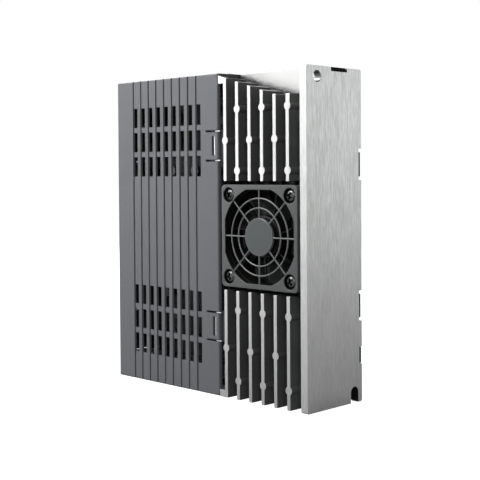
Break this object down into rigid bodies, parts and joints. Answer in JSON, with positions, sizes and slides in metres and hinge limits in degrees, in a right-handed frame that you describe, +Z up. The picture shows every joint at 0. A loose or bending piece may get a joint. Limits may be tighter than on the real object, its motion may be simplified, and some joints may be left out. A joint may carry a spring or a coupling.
{
  "type": "servo drive",
  "caption": "Slim panel-mount servo drive with a brushed back plate, finned side heat sink with a guarded fan, a grooved vented side cover and a front of keys, display and sockets.",
  "frame": {"origin": "middle of the footprint of the outer box, at the lowest face", "axes": "+Z up, +Y out of the mounting face, -Y is the front with display and sockets, +X is the fan and side cover side"},
  "size_m": [0.04, 0.137, 0.16],
  "materials": {
    "brushed_plate": "brushed along Z",
    "casting": "dark die casting with bare machined fin ends",
    "bright_steel": "zinc plated",
    "black_steel": "black oxide",
    "housing_plastic": "fine texture",
    "cover_plastic": "satin moulded",
    "panel_plastic": "satin moulded",
    "guard_plastic": "satin moulded",
    "fan_plastic": "moulded",
    "sintered_bronze": "sintered",
    "winding": "enamelled wire on laminations",
    "wire_sleeve": "PVC",
    "pale_nylon": "nylon",
    "circuit_board": "solder resist",
    "epoxy_body": "moulded epoxy",
    "thermal_pad": "silicone",
    "can_sleeve": "shrink sleeve",
    "terminal_plastic": "moulded",
    "socket_metal": "tinned",
    "socket_plastic": "moulded",
    "key_plastic": "satin",
    "display_body": "filled",
    "smoked_window": "polished",
    "light_pipe": "clear"
  },
  "bodies": {
    "chassis": {"mounting_plate": "brushed_plate", "heat_sink": "casting", "plate_screws": "bright_steel", "fan_frame": "fan_plastic", "fan_bearing": "sintered_bronze", "fan_stator": "winding", "fan_leads": "wire_sleeve", "fan_plug": "pale_nylon", "fan_guard": "guard_plastic", "guard_screws": "black_steel", "main_housing": "housing_plastic", "housing_screws": "bright_steel", "side_cover": "cover_plastic", "front_panel": "panel_plastic", "display_window": "smoked_window", "charge_lamp": "light_pipe", "key_switches": "epoxy_body", "display_module": "display_body", "display_board": "circuit_board", "display_screws": "bright_steel", "supply_terminals": "terminal_plastic", "motor_terminals": "terminal_plastic", "terminal_screws": "bright_steel", "upper_network_port": "socket_plastic", "lower_network_port": "socket_plastic", "signal_port": "socket_plastic", "encoder_port": "socket_plastic", "usb_port": "socket_metal", "power_board": "circuit_board", "board_screws": "bright_steel", "power_module": "epoxy_body", "rectifier": "epoxy_body", "thermal_pads": "thermal_pad", "module_screws": "bright_steel", "lower_capacitor": "can_sleeve", "upper_capacitor": "can_sleeve", "inrush_relay": "epoxy_body", "filter_choke": "winding", "control_board": "circuit_board", "board_spacers": "sintered_bronze", "spacer_screws": "bright_steel", "board_link": "epoxy_body", "display_link": "epoxy_body", "control_chips": "epoxy_body", "small_capacitors": "can_sleeve", "earth_bracket": "bright_steel", "earth_screws": "bright_steel", "earth_link_screw": "bright_steel"},
    "rotor": {"fan_rotor": "fan_plastic", "fan_shaft": "bright_steel"},
    "mode_key": {"mode_key": "key_plastic"},
    "up_key": {"up_key": "key_plastic"},
    "down_key": {"down_key": "key_plastic"},
    "shift_key": {"shift_key": "key_plastic"},
    "set_key": {"set_key": "key_plastic"}
  },
  "joints": [
    {"name": "fan_spin", "type": "hinge", "parent": "chassis", "child": "rotor", "pos_m": [0.0125, 0.0378, 0.08], "axis": [1, 0, 0], "continuous": true},
    {"name": "mode_key_press", "type": "slide", "parent": "chassis", "child": "mode_key", "axis": [0, 1, 0], "range_m": [0, 0.0005], "stiffness_N_per_m": 1500},
    {"name": "up_key_press", "type": "slide", "parent": "chassis", "child": "up_key", "axis": [0, 1, 0], "range_m": [0, 0.0005], "stiffness_N_per_m": 1500},
    {"name": "down_key_press", "type": "slide", "parent": "chassis", "child": "down_key", "axis": [0, 1, 0], "range_m": [0, 0.0005], "stiffness_N_per_m": 1500},
    {"name": "shift_key_press", "type": "slide", "parent": "chassis", "child": "shift_key", "axis": [0, 1, 0], "range_m": [0, 0.0005], "stiffness_N_per_m": 1500},
    {"name": "set_key_press", "type": "slide", "parent": "chassis", "child": "set_key", "axis": [0, 1, 0], "range_m": [0, 0.0005], "stiffness_N_per_m": 1500}
  ]
}
